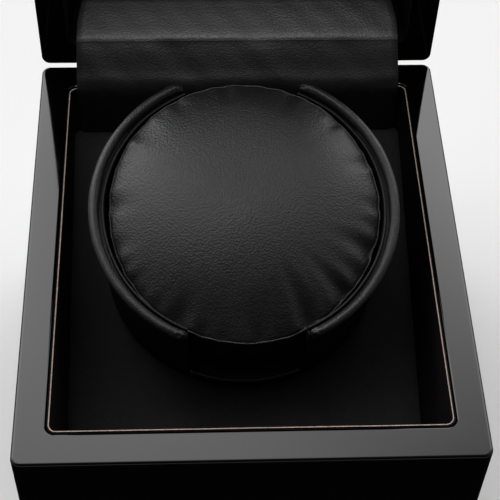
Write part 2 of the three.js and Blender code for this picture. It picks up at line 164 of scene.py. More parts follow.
def rings(levels, n=8, closed=True, cap_first=False, cap_last=False):
    """Loops of rounded rectangles (hx, hy, r, z) joined in order."""
    v, f = [], []
    k = 4 * (n + 1)
    for hx, hy, r, z in levels:
        v += [(x, y, z) for x, y in rrect(hx, hy, r, n)]
    m = len(levels)
    for j in range(m if closed else m - 1):
        a, b = j * k, ((j + 1) % m) * k
        for i in range(k):
            i2 = (i + 1) % k
            f.append((a + i, a + i2, b + i2, b + i))
    if cap_first:
        f.append(tuple(range(k))[::-1])
    if cap_last:
        f.append(tuple((m - 1) * k + i for i in range(k)))
    return np.array(v), f


def tri_box(x0, x1, y0, y1, z0, z1):
    v = [(x, y, z) for z in (z0, z1) for y in (y0, y1) for x in (x0, x1)]
    f = [(0, 2, 3, 1), (4, 5, 7, 6), (0, 1, 5, 4), (2, 6, 7, 3), (0, 4, 6, 2), (1, 3, 7, 5)]
    return np.array(v, float), f


def cutter(v, f, to=P):
    return link("cutter", to(v), f, [], flat=True)


def grid_faces(rows, cols, wrap_cols=False, wrap_rows=False, base=0):
    f = []
    for j in range(rows if wrap_rows else rows - 1):
        for i in range(cols if wrap_cols else cols - 1):
            a = base + j * cols + i
            b = base + j * cols + (i + 1) % cols
            c = base + ((j + 1) % rows) * cols + (i + 1) % cols
            d = base + ((j + 1) % rows) * cols + i
            f.append((a, b, c, d))
    return f


def noise1(n, octaves, seed, periodic=True):
    """A smooth random row of n values made of sines, the same each run."""
    r = np.random.default_rng(seed)
    t = np.linspace(0, 2 * np.pi, n, endpoint=not periodic)
    out = np.zeros(n)
    for k, a in octaves:
        out += a * np.sin(k * t + r.uniform(0, 2 * np.pi)) * r.uniform(0.7, 1.3)
    return out


# ---- materials ------------------------------------------------------------------------------------------------
def new_mat(name):
    m = bpy.data.materials.new(name)
    m.use_nodes = True
    nt = m.node_tree
    bsdf = nt.nodes["Principled BSDF"]
    return m, nt, bsdf


def node(nt, kind, **kw):
    n = nt.nodes.new(kind)
    for k, v in kw.items():
        setattr(n, k, v)
    return n


def coords(nt, scale=(1, 1, 1)):
    tc = node(nt, "ShaderNodeTexCoord")
    mp = node(nt, "ShaderNodeMapping")
    mp.inputs["Scale"].default_value = scale
    nt.links.new(tc.outputs["Object"], mp.inputs["Vector"])
    return mp.outputs["Vector"]


def tex_noise(nt, vec, scale, detail=3.0, rough=0.5):
    n = node(nt, "ShaderNodeTexNoise")
    n.inputs["Scale"].default_value = scale
    n.inputs["Detail"].default_value = detail
    n.inputs["Roughness"].default_value = rough
    nt.links.new(vec, n.inputs["Vector"])
    return n.outputs["Fac"]


def ramp(nt, fac, stops, interp="LINEAR"):
    r = node(nt, "ShaderNodeValToRGB")
    r.color_ramp.interpolation = interp
    els = r.color_ramp.elements
    while len(els) < len(stops):
        els.new(0.5)
    for e, (p, c) in zip(els, stops):
        e.position = p
        e.color = c if len(c) == 4 else (*c, 1)
    nt.links.new(fac, r.inputs["Fac"])
    return r.outputs["Color"]


def remap(nt, fac, lo, hi, a=0.0, b=1.0):
    r = node(nt, "ShaderNodeMapRange")
    r.inputs["From Min"].default_value = a
    r.inputs["From Max"].default_value = b
    r.inputs["To Min"].default_value = lo
    r.inputs["To Max"].default_value = hi
    nt.links.new(fac, r.inputs["Value"])
    return r.outputs["Result"]


def math_node(nt, op, a, b):
    n = node(nt, "ShaderNodeMath", operation=op)
    for i, x in enumerate((a, b)):
        if isinstance(x, (int, float)):
            n.inputs[i].default_value = x
        else:
            nt.links.new(x, n.inputs[i])
    return n.outputs[0]


def bump(nt, bsdf, height, distance, strength=1.0, normal=None):
    b = node(nt, "ShaderNodeBump")
    b.inputs["Distance"].default_value = distance
    b.inputs["Strength"].default_value = strength
    nt.links.new(height, b.inputs["Height"])
    if normal is not None:
        nt.links.new(normal, b.inputs["Normal"])
    nt.links.new(b.outputs["Normal"], bsdf.inputs["Normal"])
    return b.outputs["Normal"]


def mat_lacquer(name):
    m, nt, b = new_mat(name)
    v = coords(nt)
    big = tex_noise(nt, v, 30, 3, 0.55)
    nt.links.new(ramp(nt, big, [(0.3, (0.0004, 0.0004, 0.0006)), (0.7, (0.0008, 0.0008, 0.0011))]), b.inputs["Base Color"])
    nt.links.new(remap(nt, tex_noise(nt, v, 90, 4, 0.6), 0.03, 0.06, 0.3, 0.7), b.inputs["Roughness"])
    b.inputs["IOR"].default_value = 1.5
    bump(nt, b, tex_noise(nt, v, 260, 2, 0.4), 0.00001, 0.25)
    return m


def mat_leather(name, cell_mm=0.75, depth_mm=0.05, colour=0.017, rough=(0.42, 0.6), tint=(1, 1, 1.04), sheen=0.12, spec=0.5, wear=0.0):
    """Pebbled leatherette: domed cells with fine creases between them, finer grain over it, and slow variation."""
    m, nt, b = new_mat(name)
    v = coords(nt)
    warp = node(nt, "ShaderNodeTexNoise")
    warp.inputs["Scale"].default_value = 350
    warp.inputs["Detail"].default_value = 2
    nt.links.new(v, warp.inputs["Vector"])
    mix = node(nt, "ShaderNodeVectorMath", operation="MULTIPLY_ADD")
    nt.links.new(warp.outputs["Color"], mix.inputs[0])
    mix.inputs[1].default_value = (0.0009, 0.0009, 0.0009)
    nt.links.new(v, mix.inputs[2])
    vo = node(nt, "ShaderNodeTexVoronoi", feature="SMOOTH_F1")
    vo.inputs["Scale"].default_value = 1000.0 / cell_mm
    vo.inputs["Smoothness"].default_value = 0.35
    nt.links.new(mix.outputs["Vector"], vo.inputs["Vector"])
    cells = remap(nt, vo.outputs["Distance"], 1.0, 0.0, 0.0, 0.75)
    fine = tex_noise(nt, v, 5200, 3, 0.6)
    height = math_node(nt, "ADD", cells, math_node(nt, "MULTIPLY", fine, 0.22))
    slow = tex_noise(nt, v, 45, 4, 0.55)
    mid = tex_noise(nt, v, 420, 3, 0.6)
    tone = math_node(nt, "ADD", math_node(nt, "MULTIPLY", slow, 0.6), math_node(nt, "MULTIPLY", mid, 0.4))
    lo, hi = colour * 0.62, colour * 1.45
    col = ramp(nt, tone, [(0.3, tuple(lo * t for t in tint)), (0.72, tuple(hi * t for t in tint))])
    if wear:
        mixc = node(nt, "ShaderNodeMix", data_type="RGBA")
        nt.links.new(remap(nt, cells, 0.0, wear, 0.55, 1.0), mixc.inputs["Factor"])
        nt.links.new(col, mixc.inputs["A"])
        mixc.inputs["B"].default_value = (colour * 2.6, colour * 2.5, colour * 2.55, 1)
        col = mixc.outputs["Result"]
    nt.links.new(col, b.inputs["Base Color"])
    nt.links.new(remap(nt, tone, rough[0], rough[1], 0.3, 0.7), b.inputs["Roughness"])
    b.inputs["Specular IOR Level"].default_value = spec
    if sheen:
        b.inputs["Sheen Weight"].default_value = sheen
        b.inputs["Sheen Roughness"].default_value = 0.45
        b.inputs["Sheen Tint"].default_value = (0.8, 0.8, 0.84, 1)
    bump(nt, b, height, depth_mm / 1000.0, 1.0)
    return m


def mat_plain(name, colour, rough, metallic=0.0, noise_scale=300, amount=0.25, bump_mm=0.01, rough_var=0.08, stretch=(1, 1, 1), coat=0.0):
    m, nt, b = new_mat(name)
    v = coords(nt, stretch)
    n = tex_noise(nt, v, noise_scale, 4, 0.6)
    lo = tuple(c * (1 - amount) for c in colour)
    hi = tuple(min(1, c * (1 + amount)) for c in colour)
    nt.links.new(ramp(nt, n, [(0.3, lo), (0.7, hi)]), b.inputs["Base Color"])
    nt.links.new(remap(nt, tex_noise(nt, v, noise_scale * 2.3, 3, 0.6), max(0.02, rough - rough_var), rough + rough_var, 0.3, 0.7), b.inputs["Roughness"])
    b.inputs["Metallic"].default_value = metallic
    if coat:
        b.inputs["Coat Weight"].default_value = coat
        b.inputs["Coat Roughness"].default_value = 0.2
    bump(nt, b, n, bump_mm / 1000.0, 0.8)
    return m


def mat_wood(name):
    m, nt, b = new_mat(name)
    v = coords(nt, (1, 0.08, 1))
    w = node(nt, "ShaderNodeTexWave", wave_type="RINGS")
    w.inputs["Scale"].default_value = 90
    w.inputs["Distortion"].default_value = 6
    w.inputs["Detail"].default_value = 4
    w.inputs["Detail Scale"].default_value = 3
    nt.links.new(v, w.inputs["Vector"])
    nt.links.new(ramp(nt, w.outputs["Fac"], [(0.1, (0.36, 0.2, 0.09)), (0.6, (0.52, 0.33, 0.17)), (0.95, (0.6, 0.42, 0.24))]), b.inputs["Base Color"])
    b.inputs["Roughness"].default_value = 0.75
    bump(nt, b, w.outputs["Fac"], 0.00005, 0.6)
    return m


LACQUER = mat_lacquer("piano_lacquer")
CUSHION_LEATHER = mat_leather("cushion_leather", 0.66, 0.075, 0.0075, (0.38, 0.5), sheen=0.0, spec=0.62, wear=0.2)
ROLL_LEATHER = mat_leather("roll_leather", 0.55, 0.06, 0.010, (0.34, 0.46), sheen=0.0, spec=0.5)
CUP_LEATHER = mat_leather("cup_leather", 0.7, 0.03, 0.006, (0.42, 0.55), tint=(1.3, 1, 1.35), sheen=0.0, spec=0.35)
DECK_LEATHER = mat_leather("deck_leather", 0.6, 0.04, 0.021, (0.55, 0.68), tint=(1, 1, 1.05), sheen=0.0, spec=0.14)
LINER_LEATHER = mat_leather("liner_leather", 0.6, 0.035, 0.006, (0.5, 0.65), tint=(1.25, 1, 1.02), sheen=0.0, spec=0.12)
FLAP_LEATHER = mat_leather("flap_leather", 0.6, 0.045, 0.0125, (0.36, 0.48), sheen=0.0, spec=0.35)
PAD_LEATHER = mat_leather("lid_pad_leather", 0.65, 0.045, 0.005, (0.45, 0.6), sheen=0.0, spec=0.3)
SEAM = mat_leather("seam_piping", 0.35, 0.03, 0.07, (0.34, 0.46), sheen=0.0, spec=0.8)
CARD = mat_plain("raw_card_edge", (0.34, 0.25, 0.21), 0.8, noise_scale=1500, amount=0.35, bump_mm=0.05)
# painted light: two lighter copies of the flap leather, for the painted highlight on the fold and the painted light on
# the flap's upper band
FLAP_FOLD_PAINTED_HIGHLIGHT = mat_leather("flap_leather_fold_painted_highlight", 0.6, 0.045, 0.042, (0.36, 0.48), sheen=0.0, spec=1.0)
FLAP_TOP_PAINTED_LIGHT = mat_leather("flap_leather_top_painted_light", 0.6, 0.045, 0.03, (0.36, 0.48), sheen=0.0, spec=1.0)
FLAP_EDGE = mat_plain("cut_leatherette_edge", (0.03, 0.03, 0.032), 0.7, noise_scale=2500, amount=0.3, bump_mm=0.03)
STEEL = mat_plain("zinc_steel", (0.56, 0.56, 0.57), 0.34, 1.0, 700, 0.1, 0.01, 0.1, (1, 1, 8))
BRASS = mat_plain("brass", (0.62, 0.44, 0.17), 0.3, 1.0, 500, 0.12, 0.008, 0.1, (8, 1, 1))
PLASTIC = mat_plain("black_moulding", (0.018, 0.018, 0.019), 0.5, 0.0, 3500, 0.3, 0.03, 0.08)
NYLON = mat_plain("natural_nylon", (0.62, 0.6, 0.54), 0.45, 0.0, 900, 0.06, 0.01, 0.06)
RUBBER = mat_plain("rubber_foot_black", (0.02, 0.02, 0.02), 0.8, 0.0, 2200, 0.3, 0.05, 0.08)
BOARD = mat_plain("solder_mask", (0.012, 0.11, 0.04), 0.35, 0.0, 900, 0.2, 0.01, 0.08)
PANEL = mat_plain("painted_panel", (0.012, 0.012, 0.013), 0.55, 0.0, 1800, 0.3, 0.05, 0.1)
WOOD = mat_wood("softwood")
MARK = mat_plain("white_mark", (0.72, 0.72, 0.7), 0.5, 0.0, 2000, 0.05, 0.005, 0.05)

# ---- camera, floor and light ------------------------------------------------------------------------------------
cam_data = bpy.data.cameras.new("camera")
cam = bpy.data.objects.new("camera", cam_data)
bpy.context.scene.collection.objects.link(cam)
CAM_C = np.array([-15.8909, -274.0705, 344.2648 + RIM])
R = Vector((0.9991145, -0.0349981, 0.0233517))
U = Vector((0.0131067, 0.7863091, 0.6176943))
F = Vector((0.0399798, 0.6168412, -0.7860715))
cam.matrix_world = Matrix.Translation(Vector(P(CAM_C))) @ Matrix((R, U, -F)).transposed().to_4x4()
cam_data.sensor_width = 36.0
cam_data.lens = 1357.0 * 36.0 / 500.0
cam_data.clip_start, cam_data.clip_end = 0.02, 50
bpy.context.scene.camera = cam

floor_mat = mat_plain("pale_floor", (0.74, 0.74, 0.74), 0.7, 0.0, 6, 0.004, 0.0, 0.02)
floor_mat.node_tree.nodes["Principled BSDF"].inputs["Specular IOR Level"].default_value = 0.0
floor = link("floor", [(-6, -6, 0), (6, -6, 0), (6, 6, 0), (-6, 6, 0)], [(0, 1, 2, 3)], [floor_mat], flat=True)
floor.visible_glossy = False


def studio_world():
    """A soft studio: a wide pale softbox high behind the object, a dimmer ceiling, and darkness in front and below."""
    world = bpy.data.worlds.new("studio")
    bpy.context.scene.world = world
    world.use_nodes = True
    nt = world.node_tree
    bg = nt.nodes["Background"]
    tc = node(nt, "ShaderNodeTexCoord")
    total = None

    def lobe(direction, cos_edge, cos_full, strength):
        d = Vector(direction).normalized()
        dot = node(nt, "ShaderNodeVectorMath", operation="DOT_PRODUCT")
        nt.links.new(tc.outputs["Generated"], dot.inputs[0])
        dot.inputs[1].default_value = d
        r = node(nt, "ShaderNodeMapRange", interpolation_type="SMOOTHSTEP")
        r.inputs["From Min"].default_value = cos_edge
        r.inputs["From Max"].default_value = cos_full
        r.inputs["To Min"].default_value = 0
        r.inputs["To Max"].default_value = strength
        nt.links.new(dot.outputs["Value"], r.inputs["Value"])
        return r.outputs["Result"]

    def deg(a):
        return math.cos(math.radians(a))

    lobes = [
        ((-0.55, 0.80, 0.46), deg(37), deg(6), REAR),
        ((0.55, 0.80, 0.48), deg(37), deg(6), REAR * 0.98),
        ((0, 0.80, 0.46), deg(40), deg(8), REAR * 0.7),
        ((-0.14, 0.30, 1.0), deg(27), deg(8), CEIL),
        ((-0.85, 0.3, 0.8), deg(38), deg(8), SIDE_L),
        ((0.85, 0.2, 0.8), deg(38), deg(8), SIDE_R),
        ((0, 0.5, 1), deg(92), deg(35), AMBIENT),
    ]
    for args in lobes:
        v = lobe(*args)
        total = v if total is None else math_node(nt, "ADD", total, v)
    total = math_node(nt, "MINIMUM", total, 4.2)
    sep = node(nt, "ShaderNodeSeparateXYZ")
    nt.links.new(tc.outputs["Generated"], sep.inputs[0])
    # the softboxes are dimmer towards the ground, so a flat lid seen low doesn't burn out
    dim = node(nt, "ShaderNodeMapRange", interpolation_type="SMOOTHSTEP")
    dim.inputs["From Min"].default_value = 0.12
    dim.inputs["From Max"].default_value = 0.62
    dim.inputs["To Min"].default_value = 0.35
    dim.inputs["To Max"].default_value = 1.0
    nt.links.new(sep.outputs["Z"], dim.inputs["Value"])
    total = math_node(nt, "MULTIPLY", total, dim.outputs["Result"])
    # below the horizon the surroundings fade to dark
    low = node(nt, "ShaderNodeMapRange", interpolation_type="SMOOTHSTEP")
    low.inputs["From Min"].default_value = -0.62
    low.inputs["From Max"].default_value = 0.0
    low.inputs["To Min"].default_value = 0.005
    low.inputs["To Max"].default_value = 0.55
    nt.links.new(sep.outputs["Z"], low.inputs["Value"])
    up = node(nt, "ShaderNodeMapRange")
    up.inputs["From Min"].default_value = -0.02
    up.inputs["From Max"].default_value = 0.12
    nt.links.new(sep.outputs["Z"], up.inputs["Value"])
    mix = node(nt, "ShaderNodeMix", data_type="FLOAT")
    nt.links.new(up.outputs["Result"], mix.inputs["Factor"])
    nt.links.new(low.outputs["Result"], mix.inputs["A"])
    nt.links.new(total, mix.inputs["B"])
    nt.links.new(mix.outputs["Result"], bg.inputs["Strength"])
    bg.inputs["Color"].default_value = (1, 1, 1, 1)


REAR, CEIL, SIDE_L, SIDE_R, AMBIENT = 3.6, 2.1, 1.2, 0.4, 0.12
studio_world()


def rear_light():
    """One small softbox over the front edge, aimed at the flap and the rear of the cushion."""
    data = bpy.data.lights.new("rear_softbox", "AREA")
    data.shape, data.size, data.size_y = "RECTANGLE", 0.16, 0.03
    data.spread = math.radians(26)
    data.energy = 0.007
    ob = bpy.data.objects.new("rear_softbox", data)
    bpy.context.scene.collection.objects.link(ob)
    at, to = Vector(tuple(P((0, -50, RIM + 330)))), Vector(tuple(P((0, 68, RIM + 10))))
    ob.location = at
    ob.rotation_euler = (to - at).to_track_quat("-Z", "Y").to_euler()


rear_light()

# ---- lacquered base ---------------------------------------------------------------------------------------------
def arc_levels(hx, hy, r, e, z, kind, n=5):
    """Levels that round an edge by e: kind 'out_top', 'in_top', 'out_bottom' or 'in_bottom'."""
    out = []
    for i in range(n + 1):
        t = math.radians(90.0 * i / n)
        if kind == "out_top":
            o, dz = -e + e * math.cos(t), -e + e * math.sin(t)
        elif kind == "in_top":
            o, dz = e - e * math.sin(t), -e + e * math.cos(t)
        elif kind == "in_bottom":
            o, dz = e - e * math.cos(t), e - e * math.sin(t)
        else:
            o, dz = -e + e * math.sin(t), e - e * math.cos(t)
        out.append((hx + o, hy + o, r + o, z + dz))
    return out


HX, HY = CASE_W / 2, CASE_D / 2
levels = (
    arc_levels(HX, HY, 3.0, 0.8, FOOT_H, "out_bottom")
    + arc_levels(HX, HY, 3.0, 1.0, RIM, "out_top")
    + arc_levels(IN_X, IN_Y, 3.4, 0.55, RIM, "in_top")
    + arc_levels(IN_X, IN_Y, 3.4, 0.4, FOOT_H, "in_bottom")
)
v, f = rings(levels, 10)
base = link("base_shell", P(v), f, [LACQUER])


def leaf_cutters(z0, z1, to):
    return [cutter(*tri_box(s * 38 - 12.3, s * 38 + 12.3, 73, HY + 2, z0, z1), to=to) for s in (-1, 1)]


cutters = leaf_cutters(RIM - 1.3, RIM + 2, P)
cutters.append(cutter(*tri_box(-34, 34, IN_Y - 2, HY + 2, 15, 40)))
cutters.append(cutter(*tri_box(-38, 38, HY - 2.2, HY + 2, 12, 43)))
weighted(cut(base, cutters))
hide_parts("base_case")
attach(base, "base")

# ---- lacquered lid (drawn shut, turned open) ----------------------------------------------------------------------
lt_z, lb_z = L0 + LID_H, L0 + LID_DEPTH
levels = (
    arc_levels(HX, HY, 3.0, 1.0, L0, "out_bottom")
    + arc_levels(HX, HY, 3.0, 1.2, lt_z, "out_top")
)
v1, f1 = rings(levels, 10, closed=False, cap_last=True)
inner = arc_levels(IN_X, IN_Y, 3.4, 0.4, lb_z - 0.0, "in_top")[::-1]
levels_in = [(IN_X, IN_Y, 3.4, lb_z)] + [(x, y, r, z) for x, y, r, z in arc_levels(IN_X, IN_Y, 3.4, 0.55, L0, "in_bottom")]
v2, f2 = rings(levels_in, 10, closed=False, cap_first=True)
k = 44
off = len(v1)
faces = list(f1) + [tuple(i + off for i in q) for q in f2]
last = off + (len(levels_in) - 1) * k
faces += [(i, (i + 1) % k, last + (i + 1) % k, last + i) for i in range(k)]
lid = link("lid_shell", P(L(np.vstack([v1, v2]))), faces, [LACQUER])
weighted(cut(lid, leaf_cutters(L0 - 2, L0 + 2.2, lambda q: P(L(q)))))
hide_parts("lid_case")
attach(lid, "lid")


# ---- liner bands ----------------------------------------------------------------------------------------------------
def band(name, bottom, top, to, mats, seed, gap=LINER_GAP, t=LINER_T, wav=0.05, edge=True):
    """A bent board round the inside of the walls. bottom and top give z for each (x, y)."""
    n = 10
    side = 26
    def ring_pts(hx, hy, r):
        c = rrect(hx, hy, r, n)
        out = []
        m = n + 1
        for q in range(4):
            seg = c[q * m:(q + 1) * m]
            out += seg
            nxt = c[((q + 1) % 4) * m]
            last = seg[-1]
            for i in range(1, side):
                s = i / side
                out.append((last[0] + (nxt[0] - last[0]) * s, last[1] + (nxt[1] - last[1]) * s))
        return np.array(out)
    outer = ring_pts(IN_X - gap, IN_Y - gap, 3.1)
    innr = ring_pts(IN_X - gap - t, IN_Y - gap - t, 2.3)
    cnt = len(outer)
    w = noise1(cnt, [(5, wav), (11, wav * 0.6), (23, wav * 0.35)], seed)
    rows = []
    # outer bottom, outer top, bead over the top, inner top, inner bottom
    def row(a, zf, dz=0.0):
        z = np.array([zf(x, y) for x, y in a]) + dz
        return np.column_stack([a, z + 0])
    inner_w = innr + (innr - outer) * w[:, None] * 0.6
    e = 0.22
    rows.append(row(outer, bottom))
    rows.append(row(outer, top, -e))
    rows.append(row(outer * 0.75 + inner_w * 0.25, top, -0.45))
    rows.append(row(outer * 0.42 + inner_w * 0.58, top, -0.03))
    rows.append(row(inner_w * 0.95 + outer * 0.05, top, -e * 0.3))
    rows.append(row(inner_w, top, -e * 1.5))
    steps = 7
    for i in range(1, steps + 1):
        s = i / steps
        zt = np.array([top(x, y) for x, y in innr]) - e * 1.5
        zb = np.array([bottom(x, y) for x, y in innr])
        rows.append(np.column_stack([inner_w, zt + (zb - zt) * s]))
    vv = np.vstack(rows)
    ff = grid_faces(len(rows), cnt, wrap_cols=True, wrap_rows=True)
    fm = []
    for j in range(len(rows)):
        fm += [1 if j == 3 and edge else 0] * cnt
    ob = link(name, to(vv), ff, mats, fm, angle=60)
    return ob


# the board's raw edge shows as a thin line inside a dark gap at the rim
liner = band("liner_band", lambda x, y: deck_z(max(-70.5, min(70.5, y))) + 0.25, lambda x, y: RIM - 0.15, P, [LINER_LEATHER, CARD], 3)
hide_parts("liner_left", "liner_right", "liner_front", "liner_rear")
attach(liner, "base")
lid_liner = band("lid_liner_band", lambda x, y: L0 + 29.75, lambda x, y: L0 + 0.15, lambda q: P(L(q)), [LINER_LEATHER, CARD], 5, edge=False)
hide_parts("lid_liner_left", "lid_liner_right", "lid_liner_front", "lid_liner_rear")
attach(lid_liner, "lid")


# ---- deck: panel wrapped in leatherette, edges turned down -------------------------------------------------------------
def deck_mesh():
    hx, hy = IN_X - 0.5, IN_Y - 0.35
    nx, ny = 60, 70
    xs = np.linspace(-hx, hx, nx)
    ys = np.linspace(-hy, hy, ny)
    v = []
    for y in ys:
        for x in xs:
            ex = 1 - smooth(0, 2.2, hx - abs(x))
            ey = 1 - smooth(0, 2.2, hy - abs(y))
            dz = -0.5 * max(ex, ey) ** 2
            dz += 0.05 * math.sin(x * 0.11 + 1.3) * math.sin(y * 0.09 + 0.4) + 0.03 * math.sin(x * 0.31 + y * 0.23)
            v.append((x, y, deck_z(y) - 0.06 + dz))
    top = np.array(v)
    low = top.copy()
    low[:, 2] = [deck_z(y) - 3.05 for y in top[:, 1]]
    f = grid_faces(ny, nx)
    o = len(top)
    f += [tuple(reversed([o + i for i in q])) for q in grid_faces(ny, nx)]
    edge = [i for i in range(nx)] + [nx - 1 + nx * j for j in range(1, ny)] + [nx * (ny - 1) + i for i in range(nx - 2, -1, -1)] + [nx * j for j in range(ny - 2, 0, -1)]
    for a, b in zip(edge, edge[1:] + edge[:1]):
        f.append((a, a + o, b + o, b))
    return np.vstack([top, low]), f


v, f = deck_mesh()
deck = link("deck_cover", P(v), f, [DECK_LEATHER], angle=60)
hole_v, hole_f = [], []
for z in (-8, 8):
    hole_v += [(12 * math.cos(a), 12 * math.sin(a), z) for a in np.linspace(0, 2 * math.pi, 64, endpoint=False)]
hole_f = [(i, (i + 1) % 64, 64 + (i + 1) % 64, 64 + i) for i in range(64)] + [tuple(range(64))[::-1], tuple(range(64, 128))]
cor = []
for sx in (-1, 1):
    for sy in (-1, 1):
        cor.append(cutter(*tri_box(*sorted((sx * 59.6, sx * 63)), *sorted((sy * 70.0, sy * 73)), 30, 100)))
cut(deck, [cutter(D(hole_v), hole_f)] + cor, 60)
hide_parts("deck_panel")
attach(deck, "base")

# ---- hinge flap -----------------------------------------------------------------------------------------------------------
FY = 70.7 - LINER_T - 0.3
ZF = HINGE_Z + (HINGE_Y - FY)
YL = HINGE_Y + (L0 - HINGE_Z)


def catmull(pts, n):
    pts = np.array(pts, float)
    p = np.vstack([2 * pts[0] - pts[1], pts, 2 * pts[-1] - pts[-2]])
    seg = len(pts) - 1
    out = []
    for i in range(n):
        t = i / (n - 1) * seg
        j = min(int(t), seg - 1)
        s = t - j
        a, b, c, d = p[j:j + 4]
        out.append(0.5 * ((2 * b) + (-a + c) * s + (2 * a - 5 * b + 4 * c - d) * s * s + (-a + 3 * b - 3 * c + d) * s ** 3))
    return np.array(out)


def flap_mesh():
    path = catmull([
        (FY - 0.45, deck_z(FY) + 0.4), (FY - 0.5, RIM - 14), (FY - 0.55, RIM - 6), (FY - 0.35, RIM - 1.2), (FY + 1.1, RIM + 1.9),
        (FY + 4.4, RIM + 5.0), (FY + 8.4, RIM + 8.9), (YL - 0.9, ZF - 0.7), (YL + 0.7, ZF + 0.8), (YL + 5.0, ZF + 3.0), (YL + 10.2, ZF + 5.5),
        (YL + 13.8, ZF + 6.9), (YL + 16.4, ZF + 5.9), (YL + 18.2, ZF + 2.8), (YL + 18.9, ZF + 0.5)], 96)
    # even spacing along the path
    d = np.r_[0, np.cumsum(np.linalg.norm(np.diff(path, axis=0), axis=1))]
    length = d[-1]
    s = np.linspace(0, length, 104)
    path = np.column_stack([np.interp(s, d, path[:, 0]), np.interp(s, d, path[:, 1])])
    tan = np.gradient(path, axis=0)
    tan /= np.linalg.norm(tan, axis=1)[:, None]
    nor = np.column_stack([-tan[:, 1], tan[:, 0]])  # towards the viewer
    nx = 90
    xs = np.linspace(-1, 1, nx)
    half = 56.9 + 0.25 * np.sin(s / length * 5.0) - 2.6 * smooth(length - 20, length - 3, s)
    th = 0.38
    front, back = [], []
    free = smooth(20, 26, s) * (1 - smooth(34, 40, s))  # the part over the gap is not glued down
    for j in range(len(s)):
        ripple = free[j] * (0.16 * np.sin(xs * 7 + 0.6) + 0.1 * np.sin(xs * 17 + s[j] * 0.15)) + 0.03 * np.sin(xs * 29 + s[j] * 0.5)
        e = np.clip((1 - np.abs(xs)) * half[j] / 0.4, 0, 1)
        round_e = np.sqrt(np.clip(1 - (1 - e) ** 2, 0.02, 1))
        for i, x in enumerate(xs):
            c = path[j] + nor[j] * ripple[i]
            a = c + nor[j] * th * round_e[i]
            b = c - nor[j] * th * round_e[i]
            front.append((x * half[j], a[0], a[1]))
            back.append((x * half[j], b[0], b[1]))
    rows = len(s)
    f = grid_faces(rows, nx)
    o = rows * nx
    # painted light: the same leather gets a lighter colour over the padded fold (painted highlight) and on the band
    # beyond it (painted light falling into the lid)
    fm = [(0 if path[j][0] < YL - 0.9 else 2 if path[j][0] < YL + 2.5 else 3) for j in range(rows - 1) for _ in range(nx - 1)]
    assert len(fm) == len(f)
    g = [tuple(reversed([o + i for i in q])) for q in grid_faces(rows, nx)]
    f += g
    fm += fm[:]
    edge = [i for i in range(nx)] + [nx - 1 + nx * j for j in range(1, rows)] + [nx * (rows - 1) + i for i in range(nx - 2, -1, -1)] + [nx * j for j in range(rows - 2, 0, -1)]
    for a, b in zip(edge, edge[1:] + edge[:1]):
        f.append((a, a + o, b + o, b))
        fm.append(1)
    return np.array(front + back), f, fm, length


v, f, fm, flap_len = flap_mesh()
flap = link("hinge_flap_sheet", P(v), f, [FLAP_LEATHER, FLAP_EDGE, FLAP_FOLD_PAINTED_HIGHLIGHT, FLAP_TOP_PAINTED_LIGHT], fm, angle=60)
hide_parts("hinge_flap")
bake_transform(flap)


# ---- cup -------------------------------------------------------------------------------------------------------------------
def ring_mesh(profile, n, a0=None, a1=None, wob=None):
    """Closed profile [(r, z)] turned about n; full circle if a0 is None, else an arc with end caps."""
    k = len(profile)
    full = a0 is None
    m = n if full else n + 1
    v = []
    for j in range(m):
        t = 2 * math.pi * j / n if full else math.radians(a0 + (a1 - a0) * j / n)
        for i, (r, z) in enumerate(profile):
            dr, dz = wob(t, i, r, z) if wob else (0, 0)
            v.append(((r + dr) * math.cos(t), (r + dr) * math.sin(t), z + dz))
    f = grid_faces(m, k, wrap_cols=True, wrap_rows=full)
    if not full:
        f.append(tuple(range(k)))
        f.append(tuple((m - 1) * k + i for i in range(k))[::-1])
    return np.array(v), f


def densify(profile, step):
    out = []
    k = len(profile)
    for i in range(k):
        a, b = np.array(profile[i], float), np.array(profile[(i + 1) % k], float)
        n = max(1, int(np.linalg.norm(b - a) / step))
        out += [tuple(a + (b - a) * j / n) for j in range(n)]
    return out


cup_profile = densify([(12.0, 0.8), (45.6, 0.8), (46.6, 1.1), (46.96, 1.9), (47.4, 43.4), (47.2, 43.85), (46.0, 43.85), (45.75, 43.5), (45.7, 4.6), (44.9, 3.8), (12.0, 3.8)], 4.0)
v, f = ring_mesh(cup_profile, 220)
cup = link("cup_wall", P(D(v)), f, [CUP_LEATHER])


def sector_cutter(mid, half, r0, r1, n0, n1, corner=2.2):
    """A notch with rounded lower corners, swept from r0 to r1."""
    hw = math.radians(half)
    rm = 46.8
    outline = []
    for i in range(9):
        t = math.radians(270 - 90 * i / 8)
        outline.append((-hw * rm + corner + corner * math.cos(t), n0 + corner + corner * math.sin(t)))
    outline += [(-hw * rm, n1), (hw * rm, n1)]
    for i in range(9):
        t = math.radians(0 - 90 * i / 8)
        outline.append((hw * rm - corner + corner * math.cos(t), n0 + corner + corner * math.sin(t)))
    bottom = [(outline[-1][0] + (outline[0][0] - outline[-1][0]) * i / 12, n0) for i in range(1, 12)]
    outline += bottom
    top_i = [(-hw * rm + 2 * hw * rm * i / 12, n1) for i in range(1, 12)]
    idx = outline.index((-hw * rm, n1))
    outline = outline[:idx + 1] + top_i + outline[idx + 1:]
    v = []
    for r in (r0, r1):
        for s, z in outline:
            a = math.radians(mid) + s / rm
            v.append((r * math.cos(a), r * math.sin(a), z))
    k = len(outline)
    f = [(i, (i + 1) % k, k + (i + 1) % k, k + i) for i in range(k)]
    me_f = [tuple(range(k))[::-1], tuple(range(k, 2 * k))]
    return np.array(v), f + me_f


cut(cup, [cutter(D(sv), sf) for sv, sf in (sector_cutter(-90, 24, 38, 56, 8.3, 60), sector_cutter(90, 24, 38, 56, 8.3, 60))], 40)
m = cup.modifiers.new("bevel", "BEVEL")
m.width, m.segments, m.limit_method, m.angle_limit = 0.0003, 2, "ANGLE", math.radians(40)
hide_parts("cup_shell")
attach(cup, "turntable")


